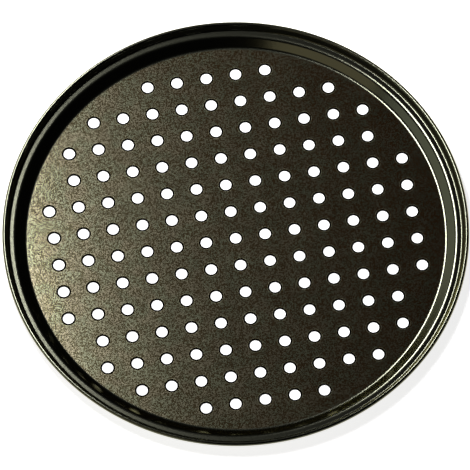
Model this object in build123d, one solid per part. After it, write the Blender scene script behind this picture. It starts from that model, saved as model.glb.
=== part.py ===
from build123d import *
from build123d.topology import SkipClean
from math import acos, cos, degrees, hypot, radians, sin, tan
import os

# Round perforated pizza pan, pressed from one disc of steel sheet. The flat floor carries a square
# grid of punched holes. Round it runs a sloping wall, a narrow ledge and a steep rim wall, whose
# edge is rolled outwards over a steel wire. The wire is the second piece, a ring inside the roll.
# The origin is the centre of the floor's underside, which is the face that the pan stands on.
# Z is the pan's axis and points up, and the rows of holes run along X and Y. Millimetres.

# Sheet, and the wire in the rolled rim
sheet_thickness = 0.5
wire_diameter = 1.6
wire_play = 0.2  # all round the wire, to the inside of the roll
wire_joint_gap = 0.8  # between the two ends of the wire
roll_mouth_gap = 0.3  # from the sheet's cut edge to the back of the rim wall

# Outline. Heights are above the table, and widths are across the inside face of the sheet
rim_diameter = 317.5  # over the rolled rim
pan_height = 10.8  # to the top of the rolled rim
ledge_height = 5.6  # to the top face of the ledge
ledge_width = 4.65  # between the corners at its two sides
wall_slope = 40.0  # degrees above level, the wall from the floor to the ledge
rim_wall_lean = 20.0  # degrees outwards from upright, the wall from the ledge to the roll

# Bends, as radii on the inside face of the sheet
floor_bend = 4.0
shoulder_bend = 4.5
rim_bend = 1.5

# Punched holes
hole_diameter = 7.6
hole_pitch = 20.3  # between neighbours in a row, and between rows
hole_margin = 11.0  # least distance from a hole's centre to the foot of the wall
punch_overrun = 1.0  # of the punch past both faces of the floor

# The roll, which wraps the wire with a little play
roll_radius = wire_diameter / 2 + wire_play + sheet_thickness
roll_bore_radius = roll_radius - sheet_thickness
roll_centre_r = rim_diameter / 2 - roll_radius
roll_centre_z = pan_height - roll_radius
roll_mouth = degrees(acos((roll_bore_radius - roll_mouth_gap) / roll_radius))
roll_turn = 360 - roll_mouth
roll_start = 180 - rim_wall_lean

# Corners of the inside face, from the roll back to the floor
rim_wall_top_r = roll_centre_r + roll_radius * cos(radians(roll_start))
rim_wall_top_z = roll_centre_z + roll_radius * sin(radians(roll_start))
rim_wall_foot_r = rim_wall_top_r - (rim_wall_top_z - ledge_height) * tan(radians(rim_wall_lean))
shoulder_r = rim_wall_foot_r - ledge_width
floor_corner_r = shoulder_r - (ledge_height - sheet_thickness) / tan(radians(wall_slope))


def hole_places():
    """Centres of the holes: the grid points that lie far enough inside the foot of the wall."""
    field_radius = floor_corner_r - hole_margin
    reach = int(field_radius // hole_pitch)
    steps = range(-reach, reach + 1)
    grid = [(column * hole_pitch, row * hole_pitch) for row in steps for column in steps]
    return [(x, y) for x, y in grid if hypot(x, y) <= field_radius]


def pressed_section():
    """Half section of the floor, walls and ledge: the inside face, thickened outwards."""
    with BuildSketch(Plane.XZ) as section:
        with BuildLine():
            FilletPolyline(
                (0, sheet_thickness),
                (floor_corner_r, sheet_thickness),
                (shoulder_r, ledge_height),
                (rim_wall_foot_r, ledge_height),
                (rim_wall_top_r, rim_wall_top_z),
                radius=[floor_bend, shoulder_bend, rim_bend],
            )
            offset(amount=sheet_thickness, side=Side.RIGHT, closed=True)
        make_face()
    return section.sketch


def rolled_section():
    """Section of the roll, from the top of the rim wall round the wire to the cut edge."""
    centre = (roll_centre_r, roll_centre_z)
    with BuildSketch(Plane.XZ) as section:
        with BuildLine():
            outside = CenterArc(centre, roll_radius, roll_start, -roll_turn)
            bore = CenterArc(centre, roll_bore_radius, roll_start, -roll_turn)
            Line(outside @ 0, bore @ 0)
            Line(outside @ 1, bore @ 1)
        make_face()
    return section.sketch


def turn_in_halves(section):
    """Turn a section about the axis as two halves, whose faces are left apart to stay round."""
    with SkipClean():
        for half_turn in (180, -180):
            revolve(section, axis=Axis.Z, revolution_arc=half_turn, clean=False)


def make_pan_sheet():
    """The pressed sheet with its holes punched through, and the roll round its edge."""
    with BuildPart() as sheet:
        add(pressed_section())
        revolve(axis=Axis.Z)
        with Locations((0, 0, sheet_thickness / 2)):
            with Locations(*hole_places()):
                Cylinder(hole_diameter / 2, sheet_thickness + 2 * punch_overrun, mode=Mode.SUBTRACT)
        turn_in_halves(rolled_section())
    return sheet.part


def make_rim_wire():
    """The wire ring inside the roll, cut to length, with its two ends a little apart at +X."""
    with BuildSketch(Plane.XZ) as section:
        with Locations((roll_centre_r, roll_centre_z)):
            Circle(wire_diameter / 2)
    with BuildPart() as wire:
        turn_in_halves(section.sketch)
        with SkipClean(), Locations((roll_centre_r, 0, roll_centre_z)):
            Box(2 * wire_diameter, wire_joint_gap, 2 * wire_diameter, mode=Mode.SUBTRACT)
    return wire.part


pieces = {"pan_sheet": make_pan_sheet(), "rim_wire": make_rim_wire()}
os.makedirs("parts", exist_ok=True)
for name, piece in pieces.items():
    export_step(piece, f"parts/{name}.step")
    print(name, "volume", round(piece.volume, 1), "valid", piece.is_valid)
print("holes", len(hole_places()))
print("floor corner", round(floor_corner_r, 2), "shoulder", round(shoulder_r, 2))
print("rim wall foot", round(rim_wall_foot_r, 2), "roll", round(roll_centre_r, 2), round(roll_centre_z, 2))
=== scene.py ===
import math

import bpy
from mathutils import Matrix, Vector
from mathutils.geometry import delaunay_2d_cdt


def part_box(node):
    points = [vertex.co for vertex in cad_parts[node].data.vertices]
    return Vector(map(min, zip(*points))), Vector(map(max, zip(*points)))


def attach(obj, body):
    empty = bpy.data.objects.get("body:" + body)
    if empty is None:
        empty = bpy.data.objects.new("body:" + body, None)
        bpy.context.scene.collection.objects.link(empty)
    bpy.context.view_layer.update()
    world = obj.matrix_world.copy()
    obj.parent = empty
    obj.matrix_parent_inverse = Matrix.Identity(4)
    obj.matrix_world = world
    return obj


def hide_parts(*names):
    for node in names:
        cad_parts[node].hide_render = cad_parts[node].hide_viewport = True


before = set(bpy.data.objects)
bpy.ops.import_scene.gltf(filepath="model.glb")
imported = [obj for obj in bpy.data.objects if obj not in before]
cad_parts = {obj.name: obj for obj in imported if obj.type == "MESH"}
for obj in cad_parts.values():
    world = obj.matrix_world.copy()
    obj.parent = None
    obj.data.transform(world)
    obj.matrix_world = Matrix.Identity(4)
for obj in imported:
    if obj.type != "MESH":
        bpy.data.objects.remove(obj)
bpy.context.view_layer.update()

# Pan sheet, pressed from one disc of half-millimetre steel. The floor is flat, and round it run a
# sloping wall, a narrow ledge and a steep rim wall, whose edge is rolled outwards over a wire.
# The outline below follows the sheet's inside face out to the roll, and comes back underneath.
mm = 0.001
_, pan_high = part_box("pan_sheet")
rim_radius = pan_high.x
pan_height = pan_high.z
sheet = 0.5 * mm
roll_radius = 1.5 * mm
roll_mouth_gap = 0.3 * mm
ledge_height = 5.6 * mm
ledge_width = 4.65 * mm
wall_slope = math.radians(40)
rim_wall_slope = math.radians(70)
floor_bend = 4.0 * mm
shoulder_bend = 4.5 * mm
rim_bend = 1.5 * mm
dull_margin = 0.15 * mm

# Points round the rim, and steps along each bend of the outline
rim_segments = 384
floor_bend_steps = 10
shoulder_bend_steps = 14
rim_bend_steps = 12
roll_steps = 48
roll_bore_steps = 40
cut_edge_steps = 8

# Corners and straights of the inside face
roll_bore = roll_radius - sheet
roll_r = rim_radius - roll_radius
roll_z = pan_height - roll_radius
rim_top_r = roll_r - roll_radius * math.sin(rim_wall_slope)
rim_top_z = roll_z + roll_radius * math.cos(rim_wall_slope)
rim_foot_r = rim_top_r - (rim_top_z - ledge_height) / math.tan(rim_wall_slope)
shoulder_r = rim_foot_r - ledge_width
floor_corner_r = shoulder_r - (ledge_height - sheet) / math.tan(wall_slope)

floor_set_back = floor_bend * math.tan(wall_slope / 2)
shoulder_set_back = shoulder_bend * math.tan(wall_slope / 2)
rim_set_back = rim_bend * math.tan(rim_wall_slope / 2)
floor_edge_r = floor_corner_r - floor_set_back
wall_flat = (ledge_height - sheet) / math.sin(wall_slope) - floor_set_back - shoulder_set_back
ledge_flat = ledge_width - shoulder_set_back - rim_set_back
rim_wall_flat = (rim_top_z - ledge_height) / math.sin(rim_wall_slope) - rim_set_back
cut_edge_reach = sheet / 2 / (roll_radius - sheet / 2)
roll_turn = 2 * math.pi - math.acos((roll_bore - roll_mouth_gap) / roll_radius) - cut_edge_reach


def trace(start, heading, moves):
    """Walk an outline of straights, (length,), and bends, (radius, turn to the left, steps).

    Gives a row for each point: radius, height, and the normal on the left of the walk."""
    r, z = start
    rows = [(r, z, -math.sin(heading), math.cos(heading))]
    for move in moves:
        if len(move) == 1:
            r += move[0] * math.cos(heading)
            z += move[0] * math.sin(heading)
            rows.append((r, z, -math.sin(heading), math.cos(heading)))
            continue
        radius, turn_left, steps = move
        side = math.copysign(1, turn_left)
        centre_r = r - side * radius * math.sin(heading)
        centre_z = z + side * radius * math.cos(heading)
        for step in range(1, steps + 1):
            along = heading + turn_left * step / steps
            r = centre_r + side * radius * math.sin(along)
            z = centre_z - side * radius * math.cos(along)
            rows.append((r, z, -math.sin(along), math.cos(along)))
        heading += turn_left
    return rows


inside_to_rim_wall = [
    (floor_bend, wall_slope, floor_bend_steps),
    (wall_flat,),
    (shoulder_bend, -wall_slope, shoulder_bend_steps),
    (ledge_flat,),
    (rim_bend, rim_wall_slope, rim_bend_steps),
]
rim_wall_and_roll = [
    (dull_margin,),
    (rim_wall_flat - 2 * dull_margin,),
    (dull_margin,),
    (roll_radius, -roll_turn, roll_steps),
    (sheet / 2, -math.pi, cut_edge_steps),
    (roll_bore, roll_turn, roll_bore_steps),
]
back_underneath = [
    (rim_wall_flat,),
    (rim_bend + sheet, -rim_wall_slope, rim_bend_steps),
    (ledge_flat,),
    (shoulder_bend - sheet, wall_slope, shoulder_bend_steps),
    (wall_flat,),
    (floor_bend + sheet, -wall_slope, floor_bend_steps),
]
border = trace((floor_edge_r, sheet), 0, inside_to_rim_wall + rim_wall_and_roll + back_underneath)

# The 137 holes of the floor, punched from above on a square grid. The punch draws the top edge of
# each hole down to a small round lip, and the lower edge is eased. Two flat rings round each hole,
# on both faces, carry the dull coating with its painted black shade, and the fade of both.
hole_radius = 3.8 * mm
hole_pitch = 20.3 * mm
hole_margin = 11.0 * mm
punch_lip = 0.22 * mm
under_lip = 0.08 * mm
# Width of the flat ring of painted black shade round each hole, and of its fade
painted_shade_ring = 1.00 * mm
painted_shade_fade = 0.30 * mm
hole_segments = 48
punch_lip_steps = 6
under_lip_steps = 3

hole_outline = trace((hole_radius + under_lip + painted_shade_ring + painted_shade_fade, 0), math.pi, [
    (painted_shade_fade,),
    (painted_shade_ring,),
    (under_lip, -math.pi / 2, under_lip_steps),
    (sheet - punch_lip - under_lip,),
    (punch_lip, -math.pi / 2, punch_lip_steps),
    (painted_shade_ring,),
    (painted_shade_fade,),
])
field_radius = floor_corner_r - hole_margin
reach = int(field_radius // hole_pitch)
hole_steps = range(-reach, reach + 1)
grid = [(column * hole_pitch, row * hole_pitch) for row in hole_steps for column in hole_steps]
hole_centres = [centre for centre in grid if math.hypot(*centre) <= field_radius]

# The sheet's mesh, and for each of its points the share in the dull collar of painted black shade and
# in the smooth film
points = []
normals = []
faces = []
dull_and_shade_mask = []
film_mask = []


def turn(rows, centre, segments, dull_and_shade_shares, films):
    """Turn an outline about an upright axis. Gives each row's ring of point numbers.

    The last two lists hold each row's share in the dull collar of painted black shade, and in the
    smooth film."""
    rings = []
    for (r, z, across, up), dull_and_shade_share, film_share in zip(rows, dull_and_shade_shares, films):
        ring = []
        for k in range(segments):
            angle = 2 * math.pi * k / segments
            ring.append(len(points))
            points.append((centre[0] + r * math.cos(angle), centre[1] + r * math.sin(angle), z))
            normals.append((across * math.cos(angle), across * math.sin(angle), up))
            dull_and_shade_mask.append(dull_and_shade_share)
            film_mask.append(film_share)
        rings.append(ring)
    for near, far in zip(rings, rings[1:]):
        for k in range(segments):
            following = (k + 1) % segments
            faces.append((near[k], far[k], far[following], near[following]))
    return rings


def fill_flat(outer, holes, facing_up):
    """Fill the flat stretch between one outer ring and the rings of the holes with triangles."""
    whole_area = 0
    same_point = 1e-9
    rings = [outer] + holes
    numbers = [number for ring in rings for number in ring]
    owner = [k for k, ring in enumerate(rings) for number in ring]
    flat = [Vector(points[number][:2]) for number in numbers]
    edges = []
    first = 0
    for ring in rings:
        edges += [(first + k, first + (k + 1) % len(ring)) for k in range(len(ring))]
        first += len(ring)
    _, _, triangles, origin, _, _ = delaunay_2d_cdt(flat, edges, [], whole_area, same_point)
    for corners in triangles:
        a, b, c = [origin[corner][0] for corner in corners]
        inside_a_hole = owner[a] and owner[a] == owner[b] == owner[c]
        if inside_a_hole:
            continue
        leftward = (flat[b] - flat[a]).cross(flat[c] - flat[a]) > 0
        if leftward != facing_up:
            b, c = c, b
        faces.append((numbers[a], numbers[b], numbers[c]))


# The rim wall is dull, with painted black shade, between its two margins. Only the flat floor has no
# smooth film
rim_wall_dull_and_shade = 0.8
rows_before_rim_wall = len(trace((0, 0), 0, inside_to_rim_wall))
border_dull_and_shade = [0.0] * len(border)
# Painted black shade on the rim wall, with the same dullness
border_dull_and_shade[rows_before_rim_wall] = rim_wall_dull_and_shade
border_dull_and_shade[rows_before_rim_wall + 1] = rim_wall_dull_and_shade
border_films = [0.0] + [1.0] * (len(border) - 2) + [0.0]
# The painted black shade covers each hole's flat rings, lips and bore, and fades out at the rings'
# outer edges
hole_dull_and_shade = [0.0] + [1.0] * (len(hole_outline) - 2) + [0.0]
hole_films = [0.0] * len(hole_outline)

border_rings = turn(border, (0, 0), rim_segments, border_dull_and_shade, border_films)
hole_rings = [
    turn(hole_outline, centre, hole_segments, hole_dull_and_shade, hole_films) for centre in hole_centres
]
fill_flat(border_rings[0], [rings[-1] for rings in hole_rings], True)
fill_flat(border_rings[-1], [rings[0] for rings in hole_rings], False)

pan_mesh = bpy.data.meshes.new("coated_pan_sheet")
pan_mesh.from_pydata(points, [], faces)
pan_mesh.shade_smooth()
for mark, shares in (("dull_and_shade", dull_and_shade_mask), ("smooth_film", film_mask)):
    pan_mesh.attributes.new(mark, "FLOAT", "POINT").data.foreach_set("value", shares)
pan_mesh.normals_split_custom_set_from_vertices(normals)
pan = bpy.data.objects.new("coated_pan_sheet", pan_mesh)
bpy.context.scene.collection.objects.link(pan)

# The non-stick coating, sprayed on both faces of the steel and baked. It is a brown-black binder
# full of olive-grey mica flakes, in flecks about a millimetre across, over a fine pebbled grain. It is
# dull round the holes and on the rim wall, with painted black shade there, and a smooth grey film on
# the rest of the border.
binder = (0.0075, 0.0020, 0.0001, 1)
binder_ior = 1.92
binder_gleam = (1.0, 0.92, 0.50, 1)
flake_olive = (0.151, 0.155, 0.101, 1)
flake_brown = (0.166, 0.149, 0.099, 1)
# Painted shade: near black with no gloss, laid round the holes and on the rim wall
painted_shade_black = (0.0020, 0.0016, 0.0012, 1)
film_grey = (0.100, 0.103, 0.076, 1)
binder_roughness = (0.140, 0.150)
flake_roughening = (0, 0.034)
film_roughness = 0.165
collar_roughness = 0.75
bare_metal = 1.0

# Sizes of the noises, and the levels of each between which its mark sets in
fleck_size = 0.8 * mm
pebble_size = 1.6 * mm
patch_size = 12.0 * mm
cloud_size = 30.0 * mm
pebble_height = 0.012 * mm
pebble_strength = 1.0
mica_levels = (0.468, 0.485)
fleck_levels = (0.485, 0.515)
patch_levels = (0.40, 0.60)
cloud_levels = (0.3, 0.7)
whole_range = (0, 1)


def start_material(name):
    """A new material with nodes. Gives it and its node tree."""
    material = bpy.data.materials.new(name)
    material.use_nodes = True
    return material, material.node_tree


def add_noise(tree, size, detail, roughness):
    """A noise texture in object space, with lumps of about the given size."""
    place = tree.nodes.new("ShaderNodeTexCoord")
    noise = tree.nodes.new("ShaderNodeTexNoise")
    noise.inputs["Scale"].default_value = 1 / size
    noise.inputs["Detail"].default_value = detail
    noise.inputs["Roughness"].default_value = roughness
    tree.links.new(place.outputs["Object"], noise.inputs["Vector"])
    return noise.outputs["Fac"]


def add_mark(tree, name):
    """The share in a mark that is stored in the mesh."""
    mark = tree.nodes.new("ShaderNodeAttribute")
    mark.attribute_name = name
    return mark.outputs["Fac"]


def add_range(tree, source, taken, given):
    """Map a value from one range, (low, high), to another, held at its ends."""
    node = tree.nodes.new("ShaderNodeMapRange")
    node.inputs["From Min"].default_value = taken[0]
    node.inputs["From Max"].default_value = taken[1]
    node.inputs["To Min"].default_value = given[0]
    node.inputs["To Max"].default_value = given[1]
    tree.links.new(source, node.inputs["Value"])
    return node.outputs["Result"]


def add_mix(tree, factor, first, second):
    """Mix two colours, each a plain colour or another node's output."""
    node = tree.nodes.new("ShaderNodeMix")
    node.data_type = "RGBA"
    tree.links.new(factor, node.inputs["Factor"])
    for socket, colour in ((node.inputs["A"], first), (node.inputs["B"], second)):
        if isinstance(colour, tuple):
            socket.default_value = colour
        else:
            tree.links.new(colour, socket)
    return node.outputs["Result"]


def add_blend(tree, factor, first, second):
    """Blend another node's output with a plain value."""
    node = tree.nodes.new("ShaderNodeMix")
    tree.links.new(factor, node.inputs["Factor"])
    tree.links.new(first, node.inputs["A"])
    node.inputs["B"].default_value = second
    return node.outputs["Result"]


def add_sum(tree, first, second):
    """Add two nodes' outputs."""
    node = tree.nodes.new("ShaderNodeMath")
    node.operation = "ADD"
    tree.links.new(first, node.inputs[0])
    tree.links.new(second, node.inputs[1])
    return node.outputs["Value"]


def add_bump(tree, height, strength, depth):
    """Raise the surface by a noise. Gives the normal."""
    bump = tree.nodes.new("ShaderNodeBump")
    bump.inputs["Strength"].default_value = strength
    bump.inputs["Distance"].default_value = depth
    tree.links.new(height, bump.inputs["Height"])
    return bump.outputs["Normal"]


coating, tree = start_material("nonstick_coating")
flecks = add_noise(tree, fleck_size, detail=0, roughness=0.5)
pebbles = add_noise(tree, pebble_size, detail=0, roughness=0.5)
patches = add_noise(tree, patch_size, detail=1, roughness=0.5)
clouds = add_noise(tree, cloud_size, detail=1, roughness=0.5)
dull_and_shade = add_mark(tree, "dull_and_shade")
film = add_mark(tree, "smooth_film")

flake = add_mix(tree, add_range(tree, patches, patch_levels, whole_range), flake_olive, flake_brown)
flecked = add_range(tree, flecks, fleck_levels, whole_range)
coloured = add_mix(tree, film, add_mix(tree, flecked, binder, flake), film_grey)
# Painted black shade over the dull collar round the holes and on the rim wall
colour = add_mix(tree, dull_and_shade, coloured, painted_shade_black)

mica = add_range(tree, flecks, mica_levels, whole_range)
metallic = add_blend(tree, dull_and_shade, add_blend(tree, film, mica, bare_metal), bare_metal)

clouded = add_range(tree, clouds, cloud_levels, binder_roughness)
satin = add_sum(tree, clouded, add_range(tree, flecked, whole_range, flake_roughening))
roughness = add_blend(tree, dull_and_shade, add_blend(tree, film, satin, film_roughness), collar_roughness)

shader = tree.nodes["Principled BSDF"]
shader.inputs["IOR"].default_value = binder_ior
shader.inputs["Specular Tint"].default_value = binder_gleam
tree.links.new(colour, shader.inputs["Base Color"])
tree.links.new(metallic, shader.inputs["Metallic"])
tree.links.new(roughness, shader.inputs["Roughness"])
pebbled = add_bump(tree, pebbles, pebble_strength, pebble_height)
tree.links.new(pebbled, shader.inputs["Normal"])

pan.data.materials.append(coating)
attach(pan, "root")
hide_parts("pan_sheet")

# Rim wire, a ring of bright drawn steel laid on the edge before it is rolled. The roll closes over
# it, so it shows only through the narrow mouth at the back of the rim.
wire_bright = (0.45, 0.45, 0.44, 1)
wire_stained = (0.20, 0.19, 0.18, 1)
wire_roughness = (0.28, 0.45)
draw_mark_size = 0.25 * mm
draw_mark_levels = (0.3, 0.7)
draw_mark_strength = 0.5
draw_mark_depth = 0.01 * mm
stain_size = 6 * mm
stain_levels = (0.5, 0.8)

steel, tree = start_material("drawn_steel")
draw_marks = add_noise(tree, draw_mark_size, detail=3, roughness=0.6)
stains = add_noise(tree, stain_size, detail=2, roughness=0.5)
stained = add_range(tree, stains, stain_levels, whole_range)
colour = add_mix(tree, stained, wire_bright, wire_stained)
roughness = add_range(tree, draw_marks, draw_mark_levels, wire_roughness)
drawn = add_bump(tree, draw_marks, draw_mark_strength, draw_mark_depth)

shader = tree.nodes["Principled BSDF"]
shader.inputs["Metallic"].default_value = bare_metal
tree.links.new(colour, shader.inputs["Base Color"])
tree.links.new(roughness, shader.inputs["Roughness"])
tree.links.new(drawn, shader.inputs["Normal"])
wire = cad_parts["rim_wire"]
wire.data.materials.clear()
wire.data.materials.append(steel)

# The table, a plain white sheet of paper that the pan stands on, laid a hair below the pan's underside.
# It glows only for the camera and in the pan's reflections. So it looks almost white, keeps the pan's
# shadow, and doesn't light the pan.
table_half = 3.0
table_gap = 0.05 * mm
table_colour = (0.80, 0.80, 0.80, 1)
table_glow = 0.82

table_corners = ((-1, -1), (1, -1), (1, 1), (-1, 1))
table_points = [(table_half * x, table_half * y, 0) for x, y in table_corners]
table_mesh = bpy.data.meshes.new("table")
table_mesh.from_pydata(table_points, [], [(0, 1, 2, 3)])
table = bpy.data.objects.new("table", table_mesh)
table.location.z = -table_gap
bpy.context.scene.collection.objects.link(table)

paper, tree = start_material("white_paper")
tree.nodes.remove(tree.nodes["Principled BSDF"])
diffuse = tree.nodes.new("ShaderNodeBsdfDiffuse")
diffuse.inputs["Color"].default_value = table_colour
glow = tree.nodes.new("ShaderNodeEmission")
glow.inputs["Strength"].default_value = table_glow
rays = tree.nodes.new("ShaderNodeLightPath")
seen = tree.nodes.new("ShaderNodeMath")
seen.operation = "MAXIMUM"
lit = tree.nodes.new("ShaderNodeAddShader")
choice = tree.nodes.new("ShaderNodeMixShader")
tree.links.new(rays.outputs["Is Camera Ray"], seen.inputs[0])
tree.links.new(rays.outputs["Is Glossy Ray"], seen.inputs[1])
tree.links.new(diffuse.outputs["BSDF"], lit.inputs[0])
tree.links.new(glow.outputs["Emission"], lit.inputs[1])
tree.links.new(seen.outputs["Value"], choice.inputs["Fac"])
tree.links.new(diffuse.outputs["BSDF"], choice.inputs[1])
tree.links.new(lit.outputs["Shader"], choice.inputs[2])
tree.links.new(choice.outputs["Shader"], tree.nodes["Material Output"].inputs["Surface"])
table.data.materials.append(paper)

# The light. A long soft box hangs high behind the pan, a little to the left, and runs from front to
# back. A longer weak one stands low on the left, and a weak warm one hangs at the front left. The
# studio round them is dark, and only the camera sees it white.
studio_dark = (0.005, 0.005, 0.005, 1)
studio_white = (1, 1, 1, 1)


def add_soft_box(name, at, towards, length, width, power, colour):
    """A rectangular lamp whose length runs level, turned to face a point."""
    lamp = bpy.data.lights.new(name, "AREA")
    lamp.shape = "RECTANGLE"
    lamp.size = length
    lamp.size_y = width
    lamp.energy = power
    lamp.color = colour
    box = bpy.data.objects.new(name, lamp)
    box.location = at
    box.rotation_euler = (Vector(towards) - Vector(at)).to_track_quat("-Z", "Y").to_euler()
    bpy.context.scene.collection.objects.link(box)


add_soft_box(
    "key_light", at=(-0.230, 0.63, 0.87), towards=(0.1, 0.62, 0),
    length=0.92, width=0.20, power=19.4, colour=(1, 0.99, 1.0))
add_soft_box(
    "side_light", at=(-0.75, 0.45, 0.28), towards=(0.2, 0.25, 0),
    length=1.6, width=0.50, power=1.75, colour=(0.96, 1, 0.86))
add_soft_box(
    "front_light", at=(-0.70, -0.62, 0.70), towards=(0.08, 0.12, 0),
    length=0.8, width=0.55, power=0.75, colour=(1, 0.88, 0.62))

studio = bpy.data.worlds.new("studio")
bpy.context.scene.world = studio
studio.use_nodes = True
tree = studio.node_tree
rays = tree.nodes.new("ShaderNodeLightPath")
tone = add_mix(tree, rays.outputs["Is Camera Ray"], studio_dark, studio_white)
tree.links.new(tone, tree.nodes["Background"].inputs["Color"])

# The camera stands far off with a long lens, because the photograph shows the pan without
# perspective. It looks down at 65 degrees, from a little to the left of the line of the holes' columns.
azimuth = math.radians(-9.51)
elevation = math.radians(65.1)
distance = 10.0
view_width = 0.31973
aim_right = -0.45 * mm
aim_up = 2.31 * mm
sensor_width = 36
nearest_seen = 0.1
farthest_seen = 4 * distance

level = math.cos(elevation)
sight = Vector((level * math.sin(azimuth), -level * math.cos(azimuth), math.sin(elevation)))
right = Vector((math.cos(azimuth), math.sin(azimuth), 0))
up = sight.cross(right)
aim = aim_right * right + aim_up * up
lens = bpy.data.cameras.new("camera")
lens.sensor_width = sensor_width
lens.lens = sensor_width * distance / view_width
lens.clip_start = nearest_seen
lens.clip_end = farthest_seen
camera = bpy.data.objects.new("camera", lens)
camera.location = aim + distance * sight
camera.rotation_euler = (-sight).to_track_quat("-Z", "Y").to_euler()
bpy.context.scene.collection.objects.link(camera)
bpy.context.scene.camera = camera
bpy.context.scene.view_settings.view_transform = "Standard"
